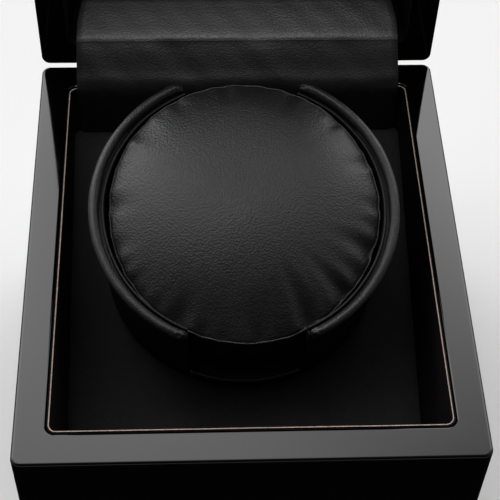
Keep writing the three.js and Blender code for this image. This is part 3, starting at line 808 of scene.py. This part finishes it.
def roll_mesh(mid, seed):
    """Padded roll on the cup's edge: a stuffed tube whose leather is gathered and tucked in at both ends."""
    a0, a1 = mid - 66.2, mid + 66.2
    n, k = 260, 30
    R0, N0, T = 48.55, 46.15, 1.68
    r = np.random.default_rng(seed)
    s = np.linspace(0, 1, n + 1)
    arc_len = math.radians(132.4) * R0
    dist = np.minimum(s, 1 - s) * arc_len  # mm to the nearer end
    w1 = noise1(n + 1, [(3, 0.05), (7, 0.04), (19, 0.02)], seed, False)
    v = []
    ph = r.uniform(0, 6.28, 5)
    for j in range(n + 1):
        t = math.radians(a0 + (a1 - a0) * s[j])
        d = dist[j]
        cap = math.sqrt(max(0.0, 1 - (1 - min(d / 2.0, 1)) ** 2))
        size = T * (0.25 + 0.75 * cap) * (1 + w1[j] * 0.3)
        gath = math.exp(-d / 2.6)
        drop = -0.9 * math.exp(-d / 1.3)
        inward = -0.55 * math.exp(-d / 1.6)
        for i in range(k):
            p = 2 * math.pi * i / k
            g = 1 + gath * (0.10 * math.sin(5 * p + ph[0]) + 0.07 * math.sin(9 * p + ph[1] + d * 1.4))
            g += 0.012 * math.sin(3 * p + 40 * s[j] + ph[2])
            g += math.exp(-(d / 3.0) ** 2) * (0.10 * math.sin(2.6 * d + 3 * p + ph[3]) + 0.08 * math.sin(4.7 * d - 2 * p + ph[4]))
            rr = size * g
            flat = 0.93 if math.sin(p) < -0.3 else 1.0
            cr = R0 + inward + rr * math.cos(p)
            cz = N0 + drop + rr * math.sin(p) * flat
            v.append((cr * math.cos(t), cr * math.sin(t), cz))
    f = grid_faces(n + 1, k, wrap_cols=True)
    f.append(tuple(range(k)))
    f.append(tuple(n * k + i for i in range(k))[::-1])
    return np.array(v), f


for side, mid in (("right", 0), ("left", 180)):
    v, f = roll_mesh(mid, 11 + mid)
    ob = link("rim_roll_pad_" + side, P(D(v)), f, [ROLL_LEATHER], angle=75)
    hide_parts("rim_roll_" + side)
    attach(ob, "turntable")
    prof = []
    for i in range(14):
        t = math.radians(235 - 290 * i / 13)
        prof.append((45.62 + 0.46 * math.cos(t), 45.35 + 0.5 * math.sin(t)))
    prof = [(45.0, 4.3)] + [(45.0, z) for z in (14, 24, 34, 42)] + prof[::-1][::-1] + [(45.5, z) for z in (42, 34, 24, 14)] + [(45.5, 4.3)]
    r_ = np.random.default_rng(40 + mid)
    pp = r_.uniform(0, 6.28, 4)
    v, f = ring_mesh(prof, 150, mid - 65.6, mid + 65.6, wob=lambda t, i, r, z: (0.05 * math.sin(9 * t + pp[0]) * (z > 30), (0.10 * math.sin(7 * t + pp[1]) + 0.07 * math.sin(17 * t + pp[2])) * (z > 43)))
    ob = link("cup_lining_sleeve_" + side, P(D(v)), f, [CUP_LEATHER], angle=50)
    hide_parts("cup_lining_" + side)
    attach(ob, "turntable")

for name, mid in (("front", -90), ("rear", 90)):
    prof = [(47.0 + 0.78 * math.cos(t), 9.0 + 0.7 * math.sin(t)) for t in np.linspace(0, 2 * math.pi, 14, endpoint=False)]
    v, f = ring_mesh(prof, 60, mid - 22.6, mid + 22.6, wob=lambda t, i, r, z, c=math.radians(mid): (
        (r - 47.0) * 0.5 * math.exp(-((math.radians(21.9) - abs(t - c)) * 47 / 0.9) ** 2),
        0.08 * math.sin(23 * t) + (z - 9.0) * 0.5 * math.exp(-((math.radians(21.9) - abs(t - c)) * 47 / 0.9) ** 2)))
    ob = link("notch_piping_" + name, P(D(v)), f, [ROLL_LEATHER], angle=60)
    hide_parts("notch_trim_" + name)
    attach(ob, "turntable")


# ---- cushion ------------------------------------------------------------------------------------------------------------------
# gathers in the top, each: angle, half width, length and depth in mm
GATHERS = [
    (-20, 2.6, 9, 0.8), (-43, 2.3, 10, 1.05), (-62, 2.7, 12, 1.2), (-84, 2.2, 5, 0.3), (-101, 2.2, 5, 0.25), (-121, 2.4, 7, 0.6),
    (-146, 1.8, 4, 0.25), (-166, 1.8, 3.5, 0.22), (179, 2.0, 5, 0.55), (160, 1.8, 3.5, 0.2), (139, 3.0, 7, 0.35), (118, 1.8, 3, 0.15),
    (96, 1.8, 3, 0.12), (69, 2.6, 6, 0.3), (44, 1.8, 4, 0.2), (20, 3.2, 7, 0.3), (1, 1.8, 4, 0.2),
]


def cushion_mesh():
    """Round watch cushion: a domed leather top gathered at its seam, straight soft sides and a flat base."""
    nth, ntop = 240, 44
    th = np.linspace(0, 2 * np.pi, nth, endpoint=False)
    rs = np.random.default_rng(21)
    pleat = []
    for a, w, ln, d in GATHERS:
        x = np.angle(np.exp(1j * (th - math.radians(a)))) * 43.0 / w
        pleat.append((np.exp(-x ** 2) - 0.42 * np.exp(-((np.abs(x) - 1.9) / 0.9) ** 2), ln, d))
    dent = sum(d * f for f, ln, d in pleat)
    # the seam's unevenness stays near the seam: the leather is smooth over the filling
    edge = 0.22 * np.sin(3 * th + 0.5) + 0.15 * np.sin(5 * th + 2.1) + noise1(nth, [(23, 0.07), (37, 0.09), (51, 0.08)], 31) - 0.28 * dent
    slow = 4.1 * np.sin(th) + 0.1
    fast = 0.2 * np.sin(4 * th + 1.0) + noise1(nth, [(7, 0.16), (19, 0.12), (33, 0.13), (47, 0.1)], 32) - 0.25 * dent
    seam_z = slow + fast
    plain = 43.5 + 0.2 * np.sin(th) ** 2
    R_ = plain + edge
    power = 2.15 + 1.6 * (0.5 + 0.5 * np.sin(th)) ** 2
    rows, mats, free = [], [], []
    crown, seam_n = 51.3, 43.2
    for s in np.linspace(0.0, 1.0, ntop + 1)[1:]:
        near = math.exp(-(((1 - s) * 43.0) / 4.5) ** 2)
        rr = plain * s + edge * near
        base_n = seam_n + slow
        z = base_n + (crown - base_n) * (1 - s ** power) + fast * near
        for f, ln, d in pleat:
            z = z - d * f * math.exp(-(((1 - s) * 43.0) / ln) ** 2)
        rows.append(np.column_stack([rr * np.cos(th), rr * np.sin(th), z]))
        mats.append(0)
        free.append(float(smooth(0.0, 0.06, 1 - s)))
    # seam: a small groove, the raised piping line, and the groove under it
    for dr, dz, mt in ((0.1, -0.3, 0), (0.3, -0.1, 1), (0.56, -0.32, 1), (0.5, -0.7, 1), (0.0, -1.0, 0), (-0.3, -1.6, 0)):
        rows.append(np.column_stack([(R_ + dr) * np.cos(th), (R_ + dr) * np.sin(th), seam_n + seam_z + dz]))
        mats.append(mt)
        free.append(0.0)
    for s in np.linspace(0, 1, 24)[1:]:
        z = seam_n - 1.6 + seam_z * (1 - s) ** 2 - s * 33.3
        bulge = 0.25 * np.sin(math.pi * s) - 1.3 * s
        rr = R_ - 0.4 + bulge - 0.9 * s + dent * 0.25 * math.exp(-s * 3.0)
        rows.append(np.column_stack([rr * np.cos(th), rr * np.sin(th), z]))
        mats.append(0)
        free.append(0.0)
    last_r = R_ - 2.6
    for q in np.linspace(0, 1, 6)[1:]:
        a = q * math.pi / 2
        rr = last_r - 2.2 + 2.2 * math.cos(a)
        rows.append(np.column_stack([rr * np.cos(th), rr * np.sin(th), np.full(nth, 8.3 - 2.1 * math.sin(a))]))
        mats.append(0)
        free.append(0.0)
    for s in (0.8, 0.5, 0.2):
        rows.append(np.column_stack([last_r * s * np.cos(th), last_r * s * np.sin(th), np.full(nth, 6.2)]))
        mats.append(0)
        free.append(0.0)
    v = np.vstack(rows)
    f = grid_faces(len(rows), nth, wrap_cols=True)
    fm = []
    for j in range(len(rows) - 1):
        fm += [1 if (mats[j] and mats[j + 1]) else 0] * nth
    v = np.vstack([v, [[0, 0, crown]], [[0, 0, 6.2]]])
    it, ib = len(v) - 2, len(v) - 1
    b0 = (len(rows) - 1) * nth
    for i in range(nth):
        f.append((it, i, (i + 1) % nth))
        fm.append(0)
        f.append((ib, b0 + (i + 1) % nth, b0 + i))
        fm.append(0)
    weights = np.repeat(free, nth)
    weights = np.r_[weights, 1.0, 0.0]
    return v, f, fm, weights


def puffed(v, f, free, pressure, frames, cap_mm, scale=20.0, grow=0.0):
    """Cloth simulation with air inside: v in mm, run larger than life because the solver is tuned for metres."""
    k = scale / 1000.0
    me = bpy.data.meshes.new("cloth_pass")
    me.from_pydata([tuple(map(float, p)) for p in v * k], [], [tuple(map(int, q)) for q in f])
    ob = bpy.data.objects.new("cloth_pass", me)
    bpy.context.scene.collection.objects.link(ob)
    bm = bmesh.new()
    bm.from_mesh(me)
    bmesh.ops.recalc_face_normals(bm, faces=bm.faces)
    bm.to_mesh(me)
    bm.free()
    vg = ob.vertex_groups.new(name="pin")
    for w in np.unique(np.round(1 - free, 3)):
        if w > 0:
            vg.add([int(i) for i in np.where(np.round(1 - free, 3) == w)[0]], float(w), "REPLACE")
    m = ob.modifiers.new("cloth", "CLOTH")
    c = m.settings
    c.quality, c.mass = 6, 0.15
    c.tension_stiffness = c.compression_stiffness = 12
    c.shear_stiffness, c.bending_stiffness = 6, 0.8
    c.tension_damping = c.compression_damping = 8
    c.vertex_group_mass = "pin"
    c.shrink_min = -grow
    c.use_pressure, c.uniform_pressure_force = True, pressure
    c.effector_weights.gravity = 0
    m.collision_settings.use_collision = False
    m.point_cache.frame_start, m.point_cache.frame_end = 1, frames
    scene = bpy.context.scene
    for t in range(1, frames + 1):
        scene.frame_set(t)
    dg = bpy.context.evaluated_depsgraph_get()
    out = np.array([p.co[:] for p in ob.evaluated_get(dg).data.vertices]) / k
    scene.frame_set(1)
    bpy.data.objects.remove(ob)
    bpy.data.meshes.remove(me)
    d = out - v
    n = np.linalg.norm(d, axis=1)
    print("cloth pass: moved up to %.2f mm, mean %.2f" % (n.max(), n[free > 0.5].mean()))
    if not np.isfinite(out).all():
        return v
    return v + d * np.minimum(1, cap_mm / np.maximum(n, 1e-9))[:, None]


v, f, fm, free = cushion_mesh()
still, nth, ntop = v.copy(), 240, 44
v = puffed(v, f, free, 5.0, 10, 0.5, grow=0.0)
# the filling evens the leather out away from the seam
move = (v - still)[:nth * ntop].reshape(ntop, nth, 3)
th = np.linspace(0, 2 * np.pi, nth, endpoint=False)
out_dir, side_dir = np.column_stack([np.cos(th), np.sin(th)]), np.column_stack([-np.sin(th), np.cos(th)])
dr, dt, dz = (move[:, :, :2] * out_dir).sum(2), (move[:, :, :2] * side_dir).sum(2), move[:, :, 2]
keep = smooth(0.62, 0.98, np.linspace(0.0, 1.0, ntop + 1)[1:])[:, None]
dr = dr.mean(1)[:, None] * (1 - keep) + dr * keep
dz = dz.mean(1)[:, None] * (1 - keep) + dz * keep
move = np.dstack([dr[:, :, None] * out_dir + (dt * keep)[:, :, None] * side_dir, dz])
v = still.copy()
v[:nth * ntop] += move.reshape(-1, 3)
v[-2, 2] += float(dz[0].mean())
cushion = link("watch_cushion", P(D(v)), f, [CUSHION_LEATHER, SEAM], fm, angle=80)
m = cushion.modifiers.new("smooth", "SUBSURF")
m.levels = m.render_levels = 1
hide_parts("cushion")
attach(cushion, "cushion")


# ---- lid pad -------------------------------------------------------------------------------------------------------------------
def pad_mesh():
    hx, hy = IN_X - 0.75, IN_Y - 0.75
    nx, ny = 70, 80
    lo = L0 + 30.0
    v = []
    for y in np.linspace(-1, 1, ny):
        for x in np.linspace(-1, 1, nx):
            ex, ey = (1 - abs(x)) * hx, (1 - abs(y)) * hy
            e = min(ex, ey)
            r = 3.4
            d = r - math.sqrt(max(0, r * r - max(0, r - e) ** 2))
            # a stitched border 9 mm in, and the soft crown inside it
            groove = 0.55 * math.exp(-((e - 9.0) / 0.55) ** 2)
            crown = 0.55 * (1 - math.exp(-max(0, e - 9) / 14))
            und = 0.06 * math.sin(x * 5 + 0.3) * math.sin(y * 6 + 1)
            v.append((x * hx, y * hy, lo + 0.75 + d + groove - crown + und))
    top = np.array(v)
    low = top.copy()
    low[:, 2] = L0 + LID_DEPTH - 0.35
    f = grid_faces(ny, nx)
    o = len(top)
    f += [tuple(reversed([o + i for i in q])) for q in grid_faces(ny, nx)]
    edge = [i for i in range(nx)] + [nx - 1 + nx * j for j in range(1, ny)] + [nx * (ny - 1) + i for i in range(nx - 2, -1, -1)] + [nx * j for j in range(ny - 2, 0, -1)]
    for a, b in zip(edge, edge[1:] + edge[:1]):
        f.append((a, a + o, b + o, b))
    return np.vstack([top, low]), f


v, f = pad_mesh()
pad = link("lid_pad_cover", P(L(v)), f, [PAD_LEATHER], angle=70)
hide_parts("lid_pad")
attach(pad, "lid")

# ---- finishes on the carried-over nodes -----------------------------------------------------------------------------------------
finish = {
    "bottom_panel": PANEL, "deck_rail_left": WOOD, "deck_rail_right": WOOD, "bearing_plate": STEEL, "motor_bracket": STEEL,
    "bearing_bush": BRASS, "spindle": STEEL, "hub_screw": STEEL, "drive_gear": NYLON, "gearmotor_gearbox": STEEL, "gearmotor_can": STEEL,
    "motor_shaft": STEEL, "motor_pinion": BRASS, "control_plate": PLASTIC, "dc_jack": PLASTIC, "mode_switch": PLASTIC, "mode_knob": PLASTIC,
    "switch_housing": PLASTIC, "power_rocker": PLASTIC, "board_tray": PLASTIC, "control_board": BOARD,
}
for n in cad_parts:
    if n.startswith(("bottom_screw", "plate_screw")):
        finish[n] = STEEL
    elif n.startswith("foot_"):
        finish[n] = RUBBER
    elif n.startswith("hinge_leaf") or n.startswith("hinge_pin"):
        finish[n] = BRASS
for n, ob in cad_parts.items():
    if n in finish:
        ob.data.materials.clear()
        ob.data.materials.append(finish[n])
        ob.data.shade_smooth()
        ob.data.set_sharp_from_angle(angle=math.radians(35))
